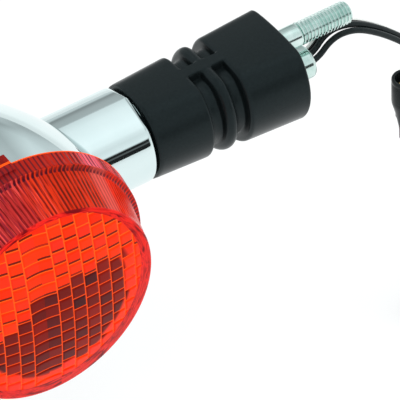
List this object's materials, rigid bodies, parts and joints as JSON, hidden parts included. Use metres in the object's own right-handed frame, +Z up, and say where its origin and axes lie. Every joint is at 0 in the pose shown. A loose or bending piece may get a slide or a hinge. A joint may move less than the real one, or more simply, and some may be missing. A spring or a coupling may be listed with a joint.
{
  "type": "turn signal indicator",
  "caption": "Motorcycle turn signal: round red-orange prism lens on a bullet-shaped chrome housing, flexible rubber stalk with M6 stud, wire ferrule and three leads",
  "frame": {"origin": "on the mounting stud's axis, at the rubber stalk's end face", "axes": "+X along the stud, out of the stalk and away from the lamp; the lens faces -Y; +Z is up"},
  "size_m": [0.1733, 0.0726, 0.1373],
  "materials": {
    "chrome": "polished chrome plate",
    "lens_red": "translucent red-orange prism plastic",
    "black_rubber": "satin moulded rubber",
    "zinc_steel": "bright zinc plate",
    "black_pvc": "glossy black wire insulation",
    "white_pvc": "white wire insulation with black tracer",
    "brass": "plain brass",
    "bulb_glass": "clear glass",
    "grey_gasket": "soft gasket rubber",
    "phenolic": "brown phenolic board"
  },
  "bodies": {
    "mount": {"mounting_stud": "zinc_steel", "base_plate": "zinc_steel", "wire_ferrule": "zinc_steel", "rubber_stalk": "black_rubber", "lead_upper_black": "black_pvc", "lead_lower_black": "black_pvc", "lead_white": "white_pvc", "lead_tie": "black_pvc", "terminal_boots": "black_pvc", "bullet_terminals": "brass"},
    "lamp_head": {"housing_shell": "chrome", "head_plate": "zinc_steel", "stalk_screws": "zinc_steel", "lens_gasket": "grey_gasket", "reflector": "chrome", "reflector_screws": "zinc_steel", "bulb_socket": "zinc_steel", "inner_leads": "black_pvc"},
    "lens_cover": {"lens": "lens_red"},
    "bulb": {"bulb_glass": "bulb_glass", "bulb_base": "brass", "bulb_contacts": "zinc_steel", "bulb_pins": "brass", "filament_mount": "zinc_steel"},
    "contact_carriage": {"contact_disc": "phenolic", "contact_studs": "brass", "contact_spring": "zinc_steel"}
  },
  "joints": [
    {"name": "stalk_flex", "type": "hinge", "parent": "mount", "child": "lamp_head", "pos_m": [-0.0221, 0, -0.0064], "axis": [0, 0, 1], "range_deg": [-15, 15], "stiffness_Nm_per_rad": 2, "deforming": ["rubber_stalk", "inner_leads"]},
    {"name": "lens_pull", "type": "slide", "parent": "lamp_head", "child": "lens_cover", "axis": [0, -1, 0], "range_m": [0, 0.025]},
    {"name": "bulb_twist", "type": "hinge", "parent": "lamp_head", "child": "bulb", "pos_m": [-0.0884, 0, -0.0064], "axis": [0, -1, 0], "range_deg": [-20, 0]},
    {"name": "contact_press", "type": "slide", "parent": "lamp_head", "child": "contact_carriage", "axis": [0, 1, 0], "range_m": [0, 0.0015], "stiffness_N_per_m": 2500, "deforming": ["contact_spring"]}
  ]
}
